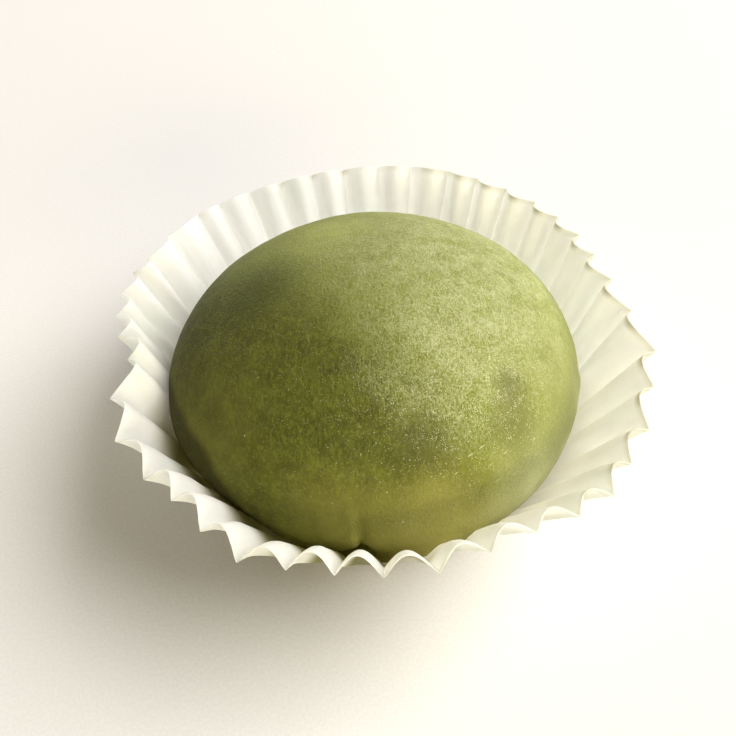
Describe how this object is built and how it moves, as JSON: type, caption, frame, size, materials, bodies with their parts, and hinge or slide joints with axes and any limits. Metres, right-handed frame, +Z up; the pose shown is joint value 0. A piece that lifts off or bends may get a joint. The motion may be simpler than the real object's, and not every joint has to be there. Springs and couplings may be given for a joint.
{
  "type": "mochi rice cake",
  "caption": "Round green tea rice cake, a soft solid dome dusted with starch, sitting in a fluted white paper case.",
  "frame": {"origin": "middle of the bounding box, on the surface that the paper case stands on", "axes": "+Z is up out of the case, -Y is the front where the rim stands close to the cake, +X is to the right"},
  "size_m": [0.0636, 0.0714, 0.0311],
  "materials": {
    "dough": "soft translucent rice dough, satin, with a light dusting of potato starch",
    "paper": "thin matt greaseproof paper"
  },
  "bodies": {
    "root": {"mochi": "dough", "paper_case": "paper"}
  },
  "joints": []
}
